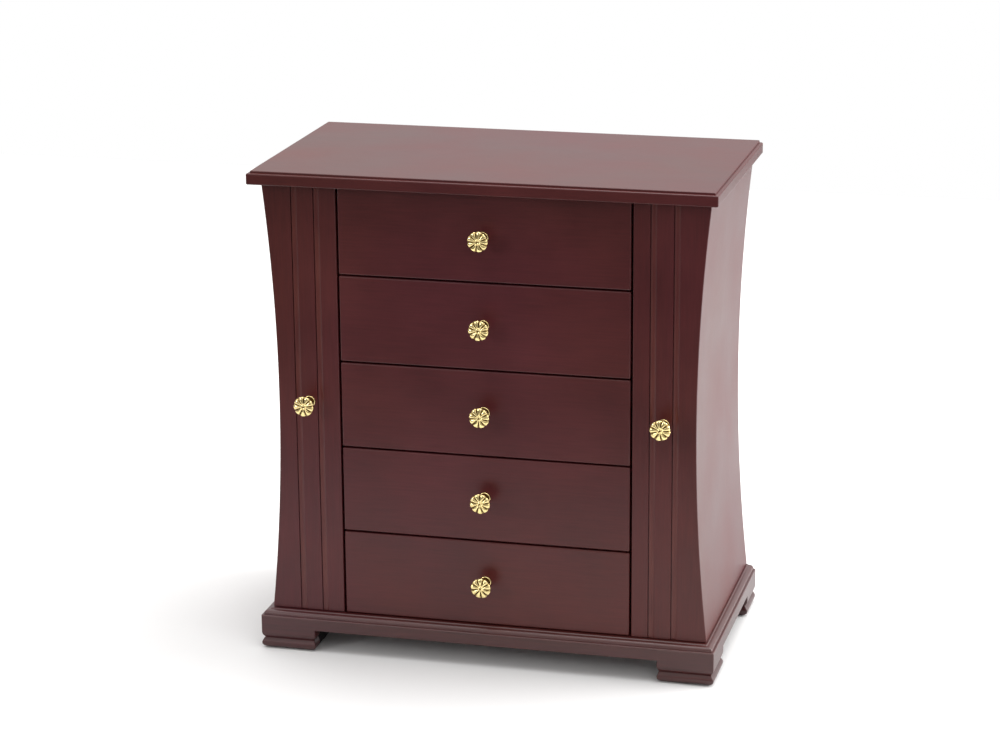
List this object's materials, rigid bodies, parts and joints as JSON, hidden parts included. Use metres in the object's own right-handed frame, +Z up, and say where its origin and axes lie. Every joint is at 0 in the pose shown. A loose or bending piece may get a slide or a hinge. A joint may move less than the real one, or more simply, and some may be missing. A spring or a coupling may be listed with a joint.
{
  "type": "jewellery chest with drawers",
  "caption": "Dark lacquered wooden jewellery chest: a stack of velvet-lined drawers with brass rosette knobs, between two waisted side doors with necklace hooks, on a plinth with bracket feet.",
  "frame": {"origin": "middle of the chest's footprint, knobs included, on the plane that it stands on", "axes": "+X to the viewer's right, -Y out of the front where the knobs are, +Z up"},
  "size_m": [0.3308, 0.1846, 0.3527],
  "materials": {
    "lacquer": "dark mahogany stain under satin lacquer, edges slightly eased",
    "case_wood": "stained, thin sealed coat",
    "velvet": "short-pile velvet",
    "pocket_cloth": "gathered velvet with an elastic hem",
    "felt": "pressed felt",
    "brass": "polished and lacquered",
    "steel": "bright zinc plate"
  },
  "bodies": {
    "case": {"top_board": "lacquer", "floor_board": "lacquer", "aprons": "lacquer", "feet": "lacquer", "felt_pads": "felt", "back_panel": "lacquer", "partitions": "case_wood", "runner_boards": "case_wood", "top_cleats": "case_wood", "case_screws": "steel", "hinge_pins": "brass", "catch_magnets": "steel"},
    "drawer_1": {"drawer_1_front": "lacquer", "drawer_1_box": "case_wood", "drawer_1_bottom": "case_wood", "drawer_1_lining": "velvet", "drawer_1_knob": "brass", "drawer_1_screw": "steel"},
    "drawer_2": {"drawer_2_front": "lacquer", "drawer_2_box": "case_wood", "drawer_2_bottom": "case_wood", "drawer_2_lining": "velvet", "drawer_2_knob": "brass", "drawer_2_screw": "steel"},
    "drawer_3": {"drawer_3_front": "lacquer", "drawer_3_box": "case_wood", "drawer_3_bottom": "case_wood", "drawer_3_lining": "velvet", "drawer_3_knob": "brass", "drawer_3_screw": "steel"},
    "drawer_4": {"drawer_4_front": "lacquer", "drawer_4_box": "case_wood", "drawer_4_bottom": "case_wood", "drawer_4_lining": "velvet", "drawer_4_knob": "brass", "drawer_4_screw": "steel"},
    "drawer_5": {"drawer_5_front": "lacquer", "drawer_5_box": "case_wood", "drawer_5_bottom": "case_wood", "drawer_5_lining": "velvet", "drawer_5_knob": "brass", "drawer_5_screw": "steel"},
    "left_door": {"left_door_stile": "lacquer", "left_door_side": "lacquer", "left_door_frame": "lacquer", "left_door_lining": "velvet", "left_door_hooks": "brass", "left_door_pocket": "pocket_cloth", "left_door_knob": "brass", "left_door_screw": "steel", "left_door_plate": "steel"},
    "right_door": {"right_door_stile": "lacquer", "right_door_side": "lacquer", "right_door_frame": "lacquer", "right_door_lining": "velvet", "right_door_hooks": "brass", "right_door_pocket": "pocket_cloth", "right_door_knob": "brass", "right_door_screw": "steel", "right_door_plate": "steel"}
  },
  "joints": [
    {"name": "drawer_1_slide", "type": "slide", "parent": "case", "child": "drawer_1", "axis": [0, -1, 0], "range_m": [0, 0.11]},
    {"name": "drawer_2_slide", "type": "slide", "parent": "case", "child": "drawer_2", "axis": [0, -1, 0], "range_m": [0, 0.11]},
    {"name": "drawer_3_slide", "type": "slide", "parent": "case", "child": "drawer_3", "axis": [0, -1, 0], "range_m": [0, 0.11]},
    {"name": "drawer_4_slide", "type": "slide", "parent": "case", "child": "drawer_4", "axis": [0, -1, 0], "range_m": [0, 0.11]},
    {"name": "drawer_5_slide", "type": "slide", "parent": "case", "child": "drawer_5", "axis": [0, -1, 0], "range_m": [0, 0.11]},
    {"name": "left_door_hinge", "type": "hinge", "parent": "case", "child": "left_door", "pos_m": [-0.1458, 0.08595, 0.03], "axis": [0, 0, -1], "range_deg": [0, 90]},
    {"name": "right_door_hinge", "type": "hinge", "parent": "case", "child": "right_door", "pos_m": [0.1458, 0.08595, 0.03], "axis": [0, 0, 1], "range_deg": [0, 90]}
  ]
}
